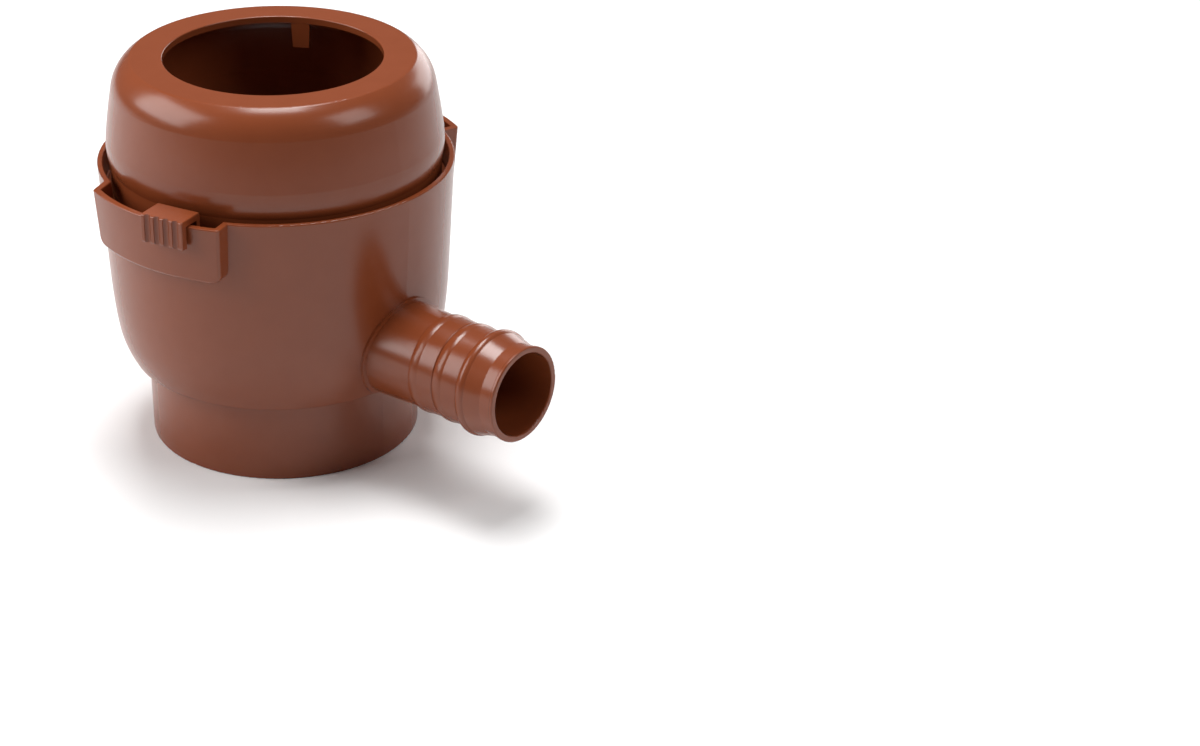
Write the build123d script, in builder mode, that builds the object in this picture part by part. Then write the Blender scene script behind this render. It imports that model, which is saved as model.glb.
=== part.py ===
"""Rainwater diverter for a round downpipe: body, pressed-in cover and turning shutter.

Millimetres, +Z up. The origin is the centre of the foot's standing face, the hose spout
points along +X, and the two finger pockets at the rim, on the -Y and the +Y side, mirror each other.
"""

from build123d import *
from math import asin, atan2, cos, degrees, hypot, radians, sin, tan
import os

os.makedirs("parts", exist_ok=True)

# The round downpipe that comes in at the top and leaves at the bottom
pipe_diameter = 68.0
pipe_clearance = 0.3

# Body: a tapered bowl on a cylindrical foot, with its radii stepping in from the rim
rim_radius = 56.2
waist_inset = 2.1
belly_inset = 1.5
heel_inset = 3.3
foot_inset = 5.7
foot_draft = 0.2

# The heights stack up from the ground
foot_height = 25.7
heel_rise = 3.3
belly_rise = 10.0
waist_rise = 15.0
taper_rise = 40.0

heel_drop = 1.5
heel_fillet = 1.2
wall = 1.8
floor_thickness = 2.0
edge_round = 0.5
shell_edge = 0.4

# Inside the body: pipe socket below the floor, standpipe above it
socket_wall = 1.8
standpipe_bore = 28.0
standpipe_wall = 2.0
standpipe_height = 38.5
standpipe_draft = 0.6

# Ledge that carries the cover, and the small beads that hold the cover down
ledge_depth = 11.0
ledge_reach = 0.95
ledge_thickness = 1.2
bead_reach = 0.5
bead_height = 1.2
bead_arc = 8.0
bead_angles = (-40, 0, 40, 140, 180, 220)

# Finger pockets: boxes that stand out of the wall below the rim. Seen from above, both their end
# walls lean towards the spout.
pocket_count = 2
pocket_reach = 5.4
pocket_depth = 18.5
pocket_half_width = 26.1
pocket_offset = 3.4
pocket_lean = 18.5
pocket_flare = 2.0
pocket_draft = 4.4
pocket_end_draft = 3.0
pocket_wall = 2.2
pocket_corner = 1.2
pocket_heel = 3.0
pocket_inner_corner = 0.5

# Hose spout: slightly conical tube with three barbs, steep on the body's side, and a lip
spout_bore = 13.4
spout_lift = 1.4
spout_wall = 1.8
spout_draft = 2.1
spout_neck = 15.7
collar_reach = 1.75
collar_rise = 0.9
barb_count = 3
barb_pitch = 9.7
barb_lean = 0.5
barb_step = 0.5
barb_crown_place = 1.6
barb_crown = 0.82
barb_shoulder_place = 3.8
barb_shoulder = 0.55
barb_end = 0.25
last_barb_scale = 2.25
last_barb_length = 9.2
tip_inset = 0.15
tip_length = 3.8
lip_wall = 2.0
lip_length = 1.0
lip_slope = 0.4

# Cover: flat ring at the top, soft shoulder, skirt that goes down inside the rim
cover_rise = 33.2
skirt_gap = 2.3
bulge_swell = 0.9
bulge_rise = 8.5
shoulder_inset = 2.4
shoulder_drop = 8.8
shoulder_lean = 30.0
shoulder_fillet = 1.5
top_inset = 6.2
cover_wall = 2.0
lip_thickness = 2.5
lip_round = 0.4
flange_clearance = 0.2
flange_thickness = 2.4
finger_count = 3
finger_width = 6.2
finger_taper = 3.0
finger_length = 7.9
finger_thickness = 1.6

# Shutter: ring that slides round inside the bowl and shuts the spout's mouth
shutter_clearance = 0.4
shutter_wall = 1.6
window_clearance = 0.2
window_bridge = 4.5

# Its hooks stand in the pockets, pass over the rim and end in ribbed thumb plates
hook_width = 14.8
hook_turn = 9.7
hook_gap = 0.4
hook_foot = 2.4
hook_round = 0.7
hook_edge = 0.35
stop_gap = 0.5
leg_gap = 1.5
leg_thickness = 1.9
bridge_thickness = 2.1
plate_gap = 0.4
plate_thickness = 2.3
plate_drop = 9.2
plate_margin = 0.8
plate_round = 0.8
rib_count = 5
groove_radius = 1.2
groove_depth = 0.85

# How near a face or an edge lies to the plane that it is picked by
pick_margin = 0.01


def polar(angle):
    """Unit vector in the section plane at an angle in radians."""
    return cos(angle), sin(angle)


def follow(points, heading):
    """Headings at each point of a chain of tangent arcs that sets off at a given heading."""
    headings = [heading]
    for (r0, z0), (r1, z1) in zip(points, points[1:]):
        headings.append(2 * atan2(z1 - z0, r1 - r0) - headings[-1])
    return headings


def inset(points, headings, depth):
    """The same stations moved towards the inside of the wall, at right angles to it."""
    moved = []
    for (r, z), heading in zip(points, headings):
        across_r, across_z = polar(heading - radians(90))
        moved.append((r + depth * across_r, z + depth * across_z))
    return moved


def arc_chain(points, headings):
    """Draw tangent arcs through the stations, in the BuildLine that is open."""
    for start, end, heading in zip(points, points[1:], headings):
        TangentArc(start, end, tangent=polar(heading))


def nearest(sketch, r, z):
    """The corner of a sketch that lies nearest to a point."""
    return sketch.vertices().sort_by_distance((r, z, 0))[0]


def section_plane(angle):
    """Upright plane through the main axis, with its x along an angle in degrees."""
    x, y = polar(radians(angle))
    return Plane(origin=(0, 0, 0), x_dir=(x, y, 0), z_dir=(y, -x, 0))


def facing_plane(angle, distance):
    """Upright plane that faces outwards along an angle, at a distance from the main axis."""
    x, y = polar(radians(angle))
    return Plane(origin=(distance * x, distance * y, 0), x_dir=(-y, x, 0), z_dir=(x, y, 0))


# Radii and heights of the body, worked out from the steps between them
opening_radius = pipe_diameter / 2 + pipe_clearance
waist_radius = rim_radius - waist_inset
belly_radius = waist_radius - belly_inset
heel_radius = belly_radius - heel_inset
foot_radius = heel_radius - foot_inset
floor_top = foot_height + floor_thickness
heel_height = foot_height + heel_rise
belly_height = heel_height + belly_rise
waist_height = belly_height + waist_rise
rim_height = waist_height + taper_rise
ledge_height = rim_height - ledge_depth

# Outer line of the body, from the rim down to the heel
taper = atan2(waist_height - rim_height, waist_radius - rim_radius)
bowl_points = [(waist_radius, waist_height), (belly_radius, belly_height), (heel_radius, heel_height)]
bowl_headings = follow(bowl_points, taper)
heel_r, heel_z = polar(bowl_headings[-1])
heel_corner = (heel_radius + heel_drop * heel_r, heel_height + heel_drop * heel_z)


def wall_radius(height, depth=0.0):
    """Radius of the tapered wall at a height, a given depth inside its outer face."""
    straight = rim_radius + (height - rim_height) / tan(taper)
    return straight + depth / sin(taper)


def bowl_line(depth):
    """Stations of the bowl's curve at a depth inside the outer face."""
    return inset(bowl_points, bowl_headings, depth)


heel_inner = bowl_line(wall)[-1]
floor_edge = (heel_inner[0] + heel_r * heel_drop / 2, heel_inner[1] + heel_z * heel_drop / 2)
ledge_radius = wall_radius(ledge_height, wall) - ledge_reach
ledge_foot = ledge_height - ledge_thickness - ledge_reach
pocket_base = rim_height - pocket_depth
pocket_face = rim_radius + pocket_reach


def end_slope(end):
    """Angle of a pocket's end wall from the Y direction. End 1 is the one nearer the spout, -1 the other."""
    return radians(pocket_lean - end * pocket_flare)


def pocket_end(end, depth, distance, height):
    """X of a pocket's end wall, a depth inside its outer face, at a distance from the XZ plane."""
    draft = (height - rim_height) * tan(radians(pocket_end_draft))
    half_width = pocket_half_width + (draft - depth) / cos(end_slope(end))
    return pocket_offset + end * half_width + (distance - rim_radius) * tan(end_slope(end))


def pocket_form(depth, base, top, corner, heel):
    """Both pockets as one solid, drawn in by a wall depth, between two heights."""
    draft = tan(radians(pocket_draft))
    face = pocket_face - depth
    inside_bowl, clear_of_face = waist_radius / 2, face + pocket_reach
    with BuildPart() as pockets:
        with BuildSketch(Plane.XZ):
            with BuildLine():
                Polyline(
                    (0, base),
                    (face - (rim_height - base) * draft, base),
                    (face + (top - rim_height) * draft, top),
                    (0, top),
                    close=True,
                )
            make_face()
        revolve(axis=Axis.Z)
        with BuildSketch(Plane.XY.offset(top)):
            for side in (-1, 1):
                with BuildLine():
                    Polyline(
                        (pocket_end(-1, depth, clear_of_face, top), side * clear_of_face),
                        (pocket_end(1, depth, clear_of_face, top), side * clear_of_face),
                        (pocket_end(1, depth, inside_bowl, top), side * inside_bowl),
                        (pocket_end(-1, depth, inside_bowl, top), side * inside_bowl),
                        close=True,
                    )
                make_face()
        extrude(amount=base - top, taper=pocket_end_draft, mode=Mode.INTERSECT)
        low = pockets.faces().sort_by(Axis.Z)[0:pocket_count].edges()
        fillet(low.filter_by(GeomType.LINE).filter_by(Axis.X, reverse=True), heel)
        outer = pockets.faces().filter_by(GeomType.CONE).edges()
        fillet(outer.filter_by(lambda edge: edge.center().Z < top - pick_margin), corner)
    return pockets.part


pocket_shell = pocket_form(0, pocket_base, rim_height, pocket_corner, pocket_heel)
pocket_hollow = pocket_form(
    pocket_wall, pocket_base + wall, rim_height + pocket_wall, pocket_inner_corner, pocket_heel - wall
)

# Outer faces of the spout: tube and barbs, turned round the spout's axis
spout_height = floor_top + spout_lift + spout_bore
spout_axis = Axis((0, 0, spout_height), (1, 0, 0))
tube_top = spout_height + spout_bore + spout_wall
tip_top = tube_top - tip_inset
lip_top = spout_height + spout_bore + lip_wall
inside_wall = foot_radius
barb_start = belly_radius + spout_neck
root_top = tube_top + (barb_start - inside_wall) * tan(radians(spout_draft))
last_barb = barb_start + (barb_count - 1) * barb_pitch
tip_start = last_barb + last_barb_length
spout_end = tip_start + tip_length + lip_slope + lip_length

with BuildPart() as spout:
    with BuildSketch(Plane.XZ):
        with BuildLine():
            Line((inside_wall, spout_height), (inside_wall, root_top))
            Line((inside_wall, root_top), (barb_start, tube_top))
            for barb in range(barb_count):
                foot_x = barb_start + barb * barb_pitch
                rise = last_barb_scale if foot_x == last_barb else 1
                step = (foot_x + barb_lean, tube_top + rise * barb_step)
                crown = (foot_x + barb_crown_place, tube_top + rise * barb_crown)
                shoulder = (foot_x + barb_shoulder_place, tube_top + rise * barb_shoulder)
                Line((foot_x, tube_top), step)
                ThreePointArc(step, crown, shoulder)
                if foot_x < last_barb:
                    next_foot = (foot_x + barb_pitch, tube_top)
                    Polyline(shoulder, (next_foot[0] - barb_end, tube_top + barb_end), next_foot)
            Polyline(
                shoulder,
                (tip_start, tip_top),
                (tip_start + tip_length, tip_top),
                (spout_end - lip_length, lip_top),
                (spout_end, lip_top),
                (spout_end, spout_height),
                (inside_wall, spout_height),
            )
        make_face()
    revolve(axis=spout_axis)

# Collar at the spout's root: the bowl's own form, a little larger, within a round outline
with BuildPart() as collar:
    with BuildSketch(Plane.XZ):
        with BuildLine():
            raised = bowl_line(-collar_rise)
            Polyline(
                raised[-1],
                (0, raised[-1][1]),
                (0, rim_height),
                (wall_radius(rim_height, -collar_rise), rim_height),
                raised[0],
            )
            arc_chain(raised, bowl_headings)
        make_face()
    revolve(axis=Axis.Z)
    with BuildSketch(Plane.YZ.offset(inside_wall)):
        with Locations((0, spout_height)):
            Circle(spout_bore + spout_wall + collar_reach)
    extrude(amount=spout_end - inside_wall, mode=Mode.INTERSECT)

with BuildPart() as body:
    # Outside: foot, heel, bowl and tapered wall in one turn
    with BuildSketch(Plane.XZ) as outside:
        with BuildLine():
            Polyline(bowl_points[-1], heel_corner, (foot_radius, foot_height), (foot_radius - foot_draft, 0))
            Polyline((foot_radius - foot_draft, 0), (0, 0), (0, rim_height), (rim_radius, rim_height))
            Line((rim_radius, rim_height), bowl_points[0])
            arc_chain(bowl_points, bowl_headings)
        make_face()
        fillet(nearest(outside, *heel_corner), heel_fillet)
        fillet(nearest(outside, foot_radius, foot_height), edge_round)
        fillet(nearest(outside, foot_radius - foot_draft, 0), shell_edge)
    revolve(axis=Axis.Z)
    add(pocket_shell)
    add(spout.part)
    add(collar.part)

    # Inside above the floor, with the ledge for the cover left standing
    with BuildSketch(Plane.XZ):
        with BuildLine():
            bowl_inner = bowl_line(wall)
            Polyline((0, floor_top), (foot_radius, floor_top), floor_edge, bowl_inner[-1])
            arc_chain(bowl_inner, bowl_headings)
            Polyline(
                bowl_inner[0],
                (wall_radius(ledge_foot, wall), ledge_foot),
                (ledge_radius, ledge_height - ledge_thickness),
                (ledge_radius, ledge_height),
                (wall_radius(ledge_height, wall), ledge_height),
                (wall_radius(rim_height, wall), rim_height),
                (0, rim_height),
                (0, floor_top),
            )
        make_face()
    revolve(axis=Axis.Z, mode=Mode.SUBTRACT)
    add(pocket_hollow, mode=Mode.SUBTRACT)

    # Standpipe on the floor, then the pipe's way through and the hollow foot
    with BuildSketch(Plane.XY.offset(floor_top - edge_round)):
        Circle(standpipe_bore + standpipe_wall + standpipe_draft)
    with BuildSketch(Plane.XY.offset(floor_top + standpipe_height)):
        Circle(standpipe_bore + standpipe_wall)
    loft()
    with Locations((0, 0, floor_top + standpipe_height)):
        Cylinder(standpipe_bore, floor_top + standpipe_height, align=(Align.CENTER, Align.CENTER, Align.MAX),
                 mode=Mode.SUBTRACT)
    with BuildSketch(Plane.XY):
        Circle(foot_radius - foot_draft - wall)
        Circle(opening_radius + socket_wall, mode=Mode.SUBTRACT)
        Circle(opening_radius)
    extrude(amount=foot_height, mode=Mode.SUBTRACT)

    # Bore of the spout, from just inside the wall to its end
    bore_start = floor_edge[0] - shutter_clearance
    with BuildSketch(Plane.YZ.offset(bore_start)):
        with Locations((0, spout_height)):
            Circle(spout_bore)
    extrude(amount=spout_end - bore_start, mode=Mode.SUBTRACT)

    # Beads above the cover's flange
    bead_foot = ledge_height + flange_thickness
    for angle in bead_angles:
        with BuildSketch(section_plane(angle - bead_arc / 2)):
            with BuildLine():
                Polyline(
                    (wall_radius(bead_foot, wall / 2), bead_foot),
                    (wall_radius(bead_foot, wall) - bead_reach, bead_foot + bead_reach / 2),
                    (wall_radius(bead_foot, wall) - bead_reach, bead_foot + bead_height / 2),
                    (wall_radius(bead_foot, wall / 2), bead_foot + bead_height),
                    close=True,
                )
            make_face()
        revolve(axis=Axis.Z, revolution_arc=bead_arc)

    rim_edges = body.edges().filter_by_position(Axis.Z, rim_height - pick_margin, rim_height + pick_margin)
    fillet(rim_edges, shell_edge)
    tip_edges = body.edges().filter_by_position(Axis.X, spout_end - pick_margin, spout_end + pick_margin)
    fillet(tip_edges, shell_edge)

body.part.label = "body"
export_step(body.part, "parts/body.step")

# Cover: stations of its outer line from the flat ring down to the skirt
cover_height = rim_height + cover_rise
skirt_radius = rim_radius - wall - skirt_gap
bulge_radius = skirt_radius + bulge_swell
shoulder_radius = bulge_radius - shoulder_inset
cover_points = [
    (shoulder_radius - top_inset, cover_height),
    (shoulder_radius, cover_height - shoulder_drop),
    (bulge_radius, rim_height + bulge_rise),
    (skirt_radius, rim_height),
]
cover_headings = follow(cover_points, radians(-shoulder_lean))
flange_top = ledge_height + flange_thickness
flange_radius = wall_radius(flange_top, wall) - flange_clearance

with BuildPart() as cover:
    with BuildSketch(Plane.XZ) as section:
        with BuildLine():
            arc_chain(cover_points, cover_headings)
            Polyline(
                cover_points[-1],
                (skirt_radius, flange_top),
                (flange_radius, flange_top),
                (flange_radius, ledge_height),
                (0, ledge_height),
                (0, cover_height),
                cover_points[0],
            )
        make_face()
        fillet(nearest(section, *cover_points[0]), shoulder_fillet)
        with BuildLine():
            under = inset(cover_points, cover_headings, cover_wall)
            under[0] = (under[0][0], cover_height - lip_thickness)
            arc_chain(under, follow(under, radians(-shoulder_lean)))
            Polyline(
                under[-1],
                (skirt_radius - cover_wall, ledge_height),
                (0, ledge_height),
                (0, cover_height - lip_thickness),
                under[0],
            )
        make_face(mode=Mode.SUBTRACT)
    revolve(axis=Axis.Z)
    with BuildSketch(Plane.XY.offset(cover_height)):
        Circle(opening_radius)
    extrude(amount=-lip_thickness, mode=Mode.SUBTRACT)
    circles = cover.edges().filter_by(GeomType.CIRCLE)
    fillet(circles.filter_by(lambda edge: abs(edge.radius - opening_radius) < pick_margin), lip_round)

    # Fingers that hang from the lip round the pipe
    for finger in range(finger_count):
        with BuildSketch(facing_plane(finger * 360 / finger_count, opening_radius)):
            with Locations((0, cover_height - lip_thickness / 2)):
                Trapezoid(finger_width, finger_length + lip_thickness / 2, 90 - finger_taper, rotation=180,
                          align=(Align.CENTER, Align.MIN))
        extrude(amount=finger_thickness)

cover.part.label = "cover"
export_step(cover.part, "parts/cover.step")

# Shutter: the bowl's curve again, one clearance inside the wall
shutter_depth = wall + shutter_clearance
window_radius = spout_bore + window_clearance
shutter_top = spout_height + window_radius + window_bridge

# Heights and radii of the hooks
hook_base = pocket_base + wall + hook_gap
ring_top = hook_base + hook_foot
bridge_foot = rim_height + hook_gap
hook_top = bridge_foot + bridge_thickness
leg_back = bulge_radius + leg_gap
leg_front = leg_back + leg_thickness
plate_back = pocket_face + plate_gap
plate_front = plate_back + plate_thickness
groove_pitch = (hook_width - 2 * plate_margin) / (rib_count - 1)

# The legs' front corners stop just short of the pockets' ends, on both sides at once. At the open
# stop the window faces the spout.
leg_corner = hypot(leg_front, hook_width / 2)


def stop_angle(end):
    """Angle from the Y direction at which a leg's front corner would meet a pocket's end wall."""
    from_origin = pocket_end(end, pocket_wall, 0, hook_base) * cos(end_slope(end))
    return degrees(end_slope(end) + asin(from_origin / leg_corner))


middle_angle = (stop_angle(1) + stop_angle(-1)) / 2
half_hook = degrees(asin(hook_width / 2 / leg_corner))
travel = (stop_angle(1) - stop_angle(-1)) / 2 - half_hook - degrees(stop_gap / leg_corner)
window_angle = hook_turn - travel
hook_angles = [side * (90 - middle_angle) + hook_turn for side in (-1, 1)]
hook_places = [Location((0, 0, 0), (0, 0, angle)) for angle in hook_angles]
print(f"the hooks' middle place is {middle_angle:.2f} degrees towards the spout")
print(f"the shutter turns {travel - hook_turn:.2f} degrees to its open stop")
print(f"and {travel + hook_turn:.2f} degrees the other way to its shut one")

with BuildPart() as hook:
    # The hook in side view, on +X: foot, leg inside the pocket, bridge over the rim, plate
    with BuildSketch(Plane.XZ.offset(-hook_width / 2)) as side_view:
        with BuildLine():
            Polyline(
                (wall_radius(ring_top, shutter_depth + shutter_wall / 2), hook_base),
                (leg_front, hook_base),
                (leg_front, bridge_foot),
                (plate_back, bridge_foot),
                (plate_back, hook_top - plate_drop),
                (plate_front, hook_top - plate_drop),
                (plate_front, hook_top),
                (leg_back, hook_top),
                (leg_back, ring_top),
                (wall_radius(ring_top, shutter_depth + shutter_wall / 2), ring_top),
                close=True,
            )
        make_face()
        fillet(nearest(side_view, leg_back, hook_top), hook_round)
        fillet(nearest(side_view, plate_front, hook_top), plate_round)
        fillet(nearest(side_view, plate_front, hook_top - plate_drop), plate_round)
    extrude(amount=hook_width)
    outline = hook.faces().filter_by(Axis.Y).edges()
    above = outline.filter_by(lambda edge: edge.center().Z > hook_top - hook_round - pick_margin)
    front = outline.filter_by(lambda edge: edge.center().X > plate_back + pick_margin)
    fillet(ShapeList({*above, *front}), hook_edge)

    # Grooves down the plate's face leave upright ribs for the thumb
    with BuildSketch(Plane.XY.offset(hook_top)):
        with Locations((plate_front + groove_radius - groove_depth, 0)):
            with GridLocations(0, groove_pitch, 1, rib_count - 1):
                Circle(groove_radius)
    extrude(amount=-plate_drop, mode=Mode.SUBTRACT)

with BuildPart() as shutter:
    with BuildSketch(Plane.XZ):
        with BuildLine():
            outer = bowl_line(shutter_depth)
            inner = bowl_line(shutter_depth + shutter_wall)
            arc_chain(outer, bowl_headings)
            Line(outer[-1], inner[-1])
            arc_chain(inner, bowl_headings)
            Polyline(
                inner[0],
                (wall_radius(ring_top, shutter_depth + shutter_wall), ring_top),
                (wall_radius(ring_top, shutter_depth), ring_top),
                outer[0],
            )
        make_face()
    revolve(axis=Axis.Z)

    # Above the ring only the hooks' legs stay
    with BuildSketch(Plane.XY.offset(shutter_top)):
        Circle(rim_radius)
        with Locations(*hook_places):
            with Locations((rim_radius / 2, 0)):
                Rectangle(rim_radius, hook_width, mode=Mode.SUBTRACT)
    extrude(amount=rim_height - shutter_top, mode=Mode.SUBTRACT)
    with Locations(*hook_places):
        add(hook.part)

    # Window over the spout's mouth, open at the ring's lower edge
    with BuildSketch(facing_plane(window_angle, waist_radius / 2)):
        with Locations((0, spout_height)):
            Circle(window_radius)
        with Locations((0, spout_height - window_radius / 2)):
            Rectangle(2 * window_radius, window_radius)
    extrude(amount=waist_radius, mode=Mode.SUBTRACT)

shutter.part.label = "shutter"
export_step(shutter.part, "parts/shutter.step")
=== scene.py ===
# %% [markdown]
# A rainwater diverter for a round downpipe, in three brown mouldings: a bowl with a hose spout, a
# domed cover, and a ring inside that turns by two ribbed thumb plates. Their shapes come ready-made
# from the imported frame. This script gives them their surface, stands them on a white floor and
# lights them like a product photograph. Lengths are in metres, as the frame's are.

# %% Load the frame
import math

import bpy
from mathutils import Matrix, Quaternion, Vector

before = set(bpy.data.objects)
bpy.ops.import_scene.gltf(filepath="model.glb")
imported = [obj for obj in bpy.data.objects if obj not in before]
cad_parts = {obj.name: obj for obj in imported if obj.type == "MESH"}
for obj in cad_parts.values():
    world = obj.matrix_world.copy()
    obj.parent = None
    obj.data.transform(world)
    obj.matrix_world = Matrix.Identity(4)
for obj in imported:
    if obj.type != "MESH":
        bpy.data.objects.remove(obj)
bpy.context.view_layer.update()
scene = bpy.context.scene
MM = 0.001

# %% [markdown]
# The camera stood a good arm's length away, looked down at the object and was tilted a trace to one
# side. A long lens keeps the round rims nearly true ellipses. The object is left of the middle of the
# picture, so the camera aims at a point on the floor to its right.

# %% Camera
CAMERA_PLACE = Vector((0.5731, -0.5707, 0.4331))
CAMERA_AIM = Vector((0.0728, 0.0755, 0.0104))
CAMERA_LENS = 82.3
CAMERA_ROLL = math.radians(1.29)

camera_data = bpy.data.cameras.new("camera")
camera_data.lens = CAMERA_LENS
camera_data.sensor_width = 36
camera_data.sensor_fit = "HORIZONTAL"
camera = bpy.data.objects.new("camera", camera_data)
scene.collection.objects.link(camera)
camera.location = CAMERA_PLACE
camera.rotation_mode = "QUATERNION"
looking = (CAMERA_AIM - CAMERA_PLACE).to_track_quat("-Z", "Y")
camera.rotation_quaternion = looking @ Quaternion((0, 0, 1), CAMERA_ROLL)
scene.camera = camera
print("camera distance to the axis:", round(CAMERA_PLACE.xy.length, 3))

# %% [markdown]
# Colours are written as sRGB hex, the way a picture editor shows them, and one function turns them
# into the linear values that a renderer adds and multiplies. A second small function adds a node with
# its settings and links, so that a whole material reads as a short list of steps.

# %% Helpers for colours and nodes
def linear(hex_colour):
    """Linear RGBA of an sRGB hex colour."""
    parts = [int(hex_colour[i : i + 2], 16) / 255 for i in (1, 3, 5)]
    return [c / 12.92 if c <= 0.04045 else ((c + 0.055) / 1.055) ** 2.4 for c in parts] + [1.0]


def add(tree, kind, settings=None, inputs=None):
    """A new node. Its inputs, by name or number, are values, sockets, or nodes for their first output."""
    node = tree.nodes.new(kind)
    for name, value in (settings or {}).items():
        setattr(node, name, value)
    for key, value in (inputs or {}).items():
        socket = node.inputs[key] if isinstance(key, int) else next(
            s for s in node.inputs if s.enabled and s.name == key)
        if isinstance(value, bpy.types.Node):
            value = next(s for s in value.outputs if s.enabled)
        if isinstance(value, bpy.types.NodeSocket):
            tree.links.new(value, socket)
        else:
            socket.default_value = value
    return node


print("mid grey is", round(linear("#808080")[0], 3), "in linear light")

# %% [markdown]
# The three mouldings are polypropylene, coloured right through with a copper brown. It came out of
# polished steel moulds, so it is smooth with a satin gloss: a white floor and soft boxes show in it as
# soft pale fields. The moulds were turned on a lathe and left very fine rings, about half a millimetre
# apart, which show as faint lines round the axis. They are only a thousandth of a millimetre or two
# deep, so a bump made of one-dimensional noise suits them better than modelled grooves. On the spout
# they run round the spout's own axis and are a little deeper. Two more noises give the skin its faint
# waviness and its grain.

# %% Moulded polypropylene
BROWN = "#844022"
BROWN_PALER = "#8A4527"
SATIN = 0.23
RING_PITCH = 0.55 * MM
RING_DEPTH = 0.0006 * MM
SPOUT_RING_DEPTH = 0.0022 * MM
WAVE_SIZE = 9.0 * MM
WAVE_DEPTH = 0.012 * MM
SPECK_SIZE = 0.45 * MM
SPECK_DEPTH = 0.01 * MM
SPOUT_ROOT = 57.0 * MM
PLASTIC_IOR = 1.5
RING_DETAIL = 2.0
SATIN_SPREAD = 0.04


def moulded_polypropylene(name, with_spout):
    """Copper-brown polypropylene from a turned steel mould."""
    material = bpy.data.materials.new(name)
    material.use_nodes = True
    tree = material.node_tree
    surface = tree.nodes["Principled BSDF"]
    surface.inputs["IOR"].default_value = PLASTIC_IOR
    place = add(tree, "ShaderNodeTexCoord").outputs["Object"]
    axes = add(tree, "ShaderNodeSeparateXYZ", inputs={0: place})
    flat = add(tree, "ShaderNodeCombineXYZ", inputs={"X": axes.outputs["X"], "Y": axes.outputs["Y"]})
    radius = add(tree, "ShaderNodeVectorMath", {"operation": "LENGTH"}, {0: flat})
    across = add(tree, "ShaderNodeMath", {"operation": "SUBTRACT"}, {0: axes.outputs["Z"], 1: radius})
    ring_depth = RING_DEPTH
    if with_spout:
        on_spout = add(tree, "ShaderNodeMath", {"operation": "GREATER_THAN"},
                       {0: axes.outputs["X"], 1: SPOUT_ROOT})
        across = add(tree, "ShaderNodeMix", inputs={"Factor": on_spout, "A": across, "B": axes.outputs["X"]})
        ring_depth = add(tree, "ShaderNodeMix", inputs={
            "Factor": on_spout, "A": RING_DEPTH, "B": SPOUT_RING_DEPTH})
    rings = add(tree, "ShaderNodeTexNoise", {"noise_dimensions": "1D"},
                {"W": across, "Scale": 1 / RING_PITCH, "Detail": RING_DETAIL})
    waves = add(tree, "ShaderNodeTexNoise", inputs={"Vector": place, "Scale": 1 / WAVE_SIZE})
    specks = add(tree, "ShaderNodeTexNoise", inputs={"Vector": place, "Scale": 1 / SPECK_SIZE})
    normal = add(tree, "ShaderNodeBump", inputs={"Height": rings, "Distance": ring_depth})
    normal = add(tree, "ShaderNodeBump", inputs={"Height": waves, "Distance": WAVE_DEPTH, "Normal": normal})
    normal = add(tree, "ShaderNodeBump", inputs={"Height": specks, "Distance": SPECK_DEPTH, "Normal": normal})
    tree.links.new(normal.outputs[0], surface.inputs["Normal"])
    colour = add(tree, "ShaderNodeMix", {"data_type": "RGBA"},
                 {"Factor": waves, "A": linear(BROWN), "B": linear(BROWN_PALER)})
    tree.links.new(colour.outputs["Result"], surface.inputs["Base Color"])
    gloss = add(tree, "ShaderNodeMapRange", inputs={
        "Value": rings, "To Min": SATIN - SATIN_SPREAD, "To Max": SATIN + SATIN_SPREAD})
    tree.links.new(gloss.outputs[0], surface.inputs["Roughness"])
    return material


print("rings every", round(RING_PITCH / MM, 2), "mm")

# %% [markdown]
# Each moulding gets a material of its own, so that one of them can be recoloured alone. The frame's
# meshes stay as they are: only their material slots are filled.

# %% Dress the mouldings
for node_name, has_spout in (("body", True), ("cover", False), ("shutter", False)):
    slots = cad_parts[node_name].data.materials
    slots.clear()
    slots.append(moulded_polypropylene(f"polypropylene_{node_name}", has_spout))
    print("dressed", node_name)

# %% [markdown]
# A product photograph is made on a seamless white sheet. The sheet here is one large square of one
# colour. The camera sees it as pure white, which leaves the shadow that the lamps cast, and the gloss
# sees a pale sheet too, while the light that it throws back onto the object is that of plain paper.
# Far out, where the lamps hardly reach it, the camera sees it brighter, so that it stays white up to
# the horizon. Seen from below it is clear, so that it hides nothing of the underside.

# %% Floor
FLOOR_SIZE = 8.0
PAPER = 0.68
REFLECTED = 0.85
WHITE = 1.0
FAR_START = 0.6
FAR_WHITE = 40.0

half = FLOOR_SIZE / 2
floor_mesh = bpy.data.meshes.new("floor")
corners = [(-half, -half, 0), (half, -half, 0), (half, half, 0), (-half, half, 0)]
floor_mesh.from_pydata(corners, [], [(0, 1, 2, 3)])
floor = bpy.data.objects.new("floor", floor_mesh)
scene.collection.objects.link(floor)

paper = bpy.data.materials.new("white_paper")
paper.use_nodes = True
tree = paper.node_tree
sheet = tree.nodes["Principled BSDF"]
sheet.inputs["Roughness"].default_value = 1.0
sheet.inputs["Specular IOR Level"].default_value = 0.0
rays = add(tree, "ShaderNodeLightPath").outputs
place = add(tree, "ShaderNodeTexCoord").outputs["Object"]
glossy = add(tree, "ShaderNodeMix", inputs={"Factor": rays["Is Glossy Ray"], "A": PAPER, "B": REFLECTED})
off = add(tree, "ShaderNodeVectorMath", {"operation": "LENGTH"}, {0: place})
far = add(tree, "ShaderNodeMapRange", inputs={
    "Value": off.outputs["Value"], "From Min": FAR_START, "From Max": half, "To Max": FAR_WHITE})
bright = add(tree, "ShaderNodeMath", {"operation": "MAXIMUM"}, {0: WHITE, 1: far})
level = add(tree, "ShaderNodeMix", inputs={"Factor": rays["Is Camera Ray"], "A": glossy, "B": bright})
tree.links.new(level.outputs[0], sheet.inputs["Base Color"])
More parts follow.
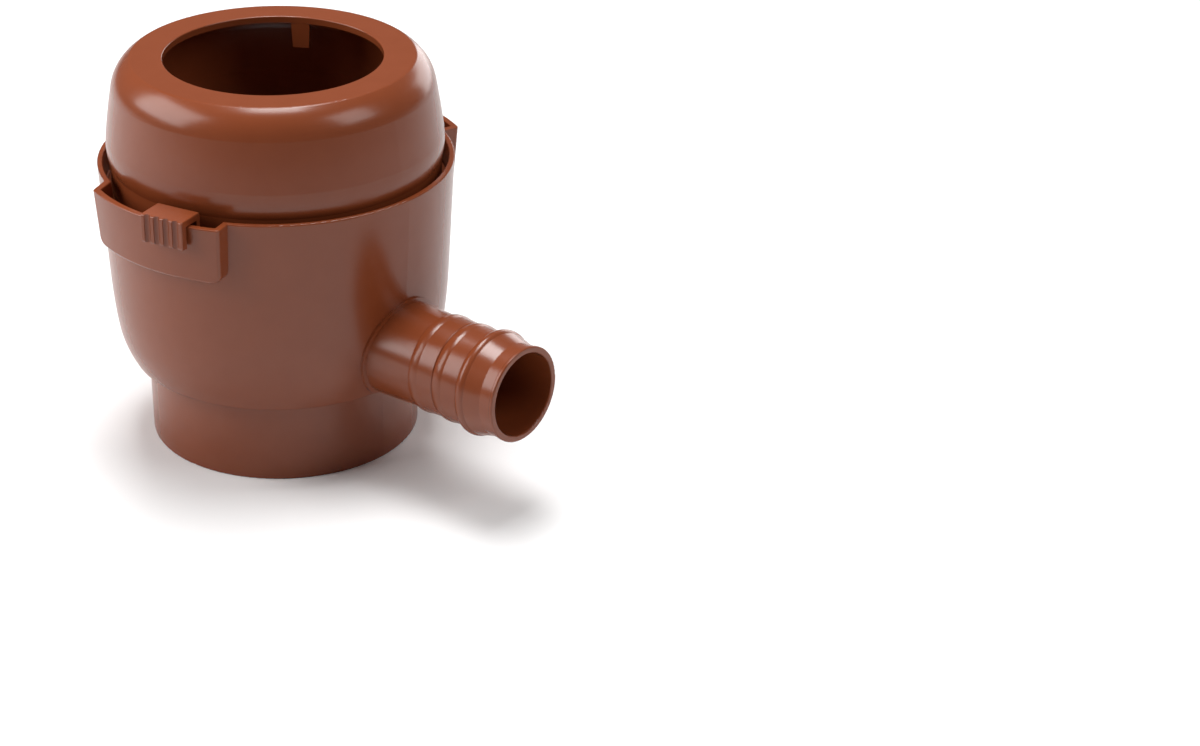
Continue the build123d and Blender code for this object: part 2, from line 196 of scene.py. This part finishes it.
below = add(tree, "ShaderNodeNewGeometry").outputs["Backfacing"]
solid = add(tree, "ShaderNodeMath", {"operation": "SUBTRACT"}, {0: 1.0, 1: below})
tree.links.new(solid.outputs[0], sheet.inputs["Alpha"])
floor_mesh.materials.append(paper)
print("floor of", FLOOR_SIZE, "m")

# %% [markdown]
# The light comes from four soft boxes: a strong one overhead and a little behind, a large one at the
# left, one low down behind on the right, and a smaller one in front on the right that fills the
# shadows. Behind the camera the studio is dark, and the dark patch on the dome's front is its
# reflection. Each row of the table says where a lamp stands round the object, how large it is and how
# bright, from which its power follows.

# %% Lamps
LAMP_AIM = Vector((0, 0, 0.05))
PHOTO_SIDE = 45.1
# name, degrees round from the camera's side, elevation, distance, width, height, brightness
SOFTBOXES = (
    ("overhead_box", 180, 82, 1.1, 0.42, 0.66, 12.5),
    ("left_box", -90, 32, 1.2, 1.0, 0.8, 4.4),
    ("right_box", 145, 6, 1.2, 0.8, 0.7, 3.0),
    ("fill_box", 62, 38, 1.2, 0.5, 0.6, 3.2),
)


def softbox(name, azimuth, elevation, distance, width, height, brightness):
    """A rectangular lamp that faces the object. Azimuth 0 stands at -Y and 90 at +X, in degrees."""
    a, e = math.radians(azimuth), math.radians(elevation)
    away = Vector((math.sin(a) * math.cos(e), -math.cos(a) * math.cos(e), math.sin(e)))
    lamp = bpy.data.lights.new(name, "AREA")
    lamp.shape = "RECTANGLE"
    lamp.size, lamp.size_y = width, height
    lamp.energy = brightness * math.pi * width * height
    box = bpy.data.objects.new(name, lamp)
    scene.collection.objects.link(box)
    box.location = LAMP_AIM + away * distance
    box.rotation_mode = "QUATERNION"
    box.rotation_quaternion = (-away).to_track_quat("-Z", "Y")
    print(name, "power", round(lamp.energy, 2), "W")


for lamp_name, turn, *rest in SOFTBOXES:
    softbox(lamp_name, PHOTO_SIDE + turn, *rest)

# %% [markdown]
# The world is plain white where the camera looks past the sheet, and a dim studio for everything else.

# %% World
STUDIO = 0.12

world = bpy.data.worlds.new("studio")
scene.world = world
world.use_nodes = True
tree = world.node_tree
rays = add(tree, "ShaderNodeLightPath").outputs
strength = add(tree, "ShaderNodeMath", {"operation": "MAXIMUM"}, {0: rays["Is Camera Ray"], 1: STUDIO})
background = tree.nodes["Background"]
background.inputs["Color"].default_value = linear("#FFFFFF")
tree.links.new(strength.outputs[0], background.inputs["Strength"])
scene.view_settings.view_transform = "Standard"
print("studio level", STUDIO)
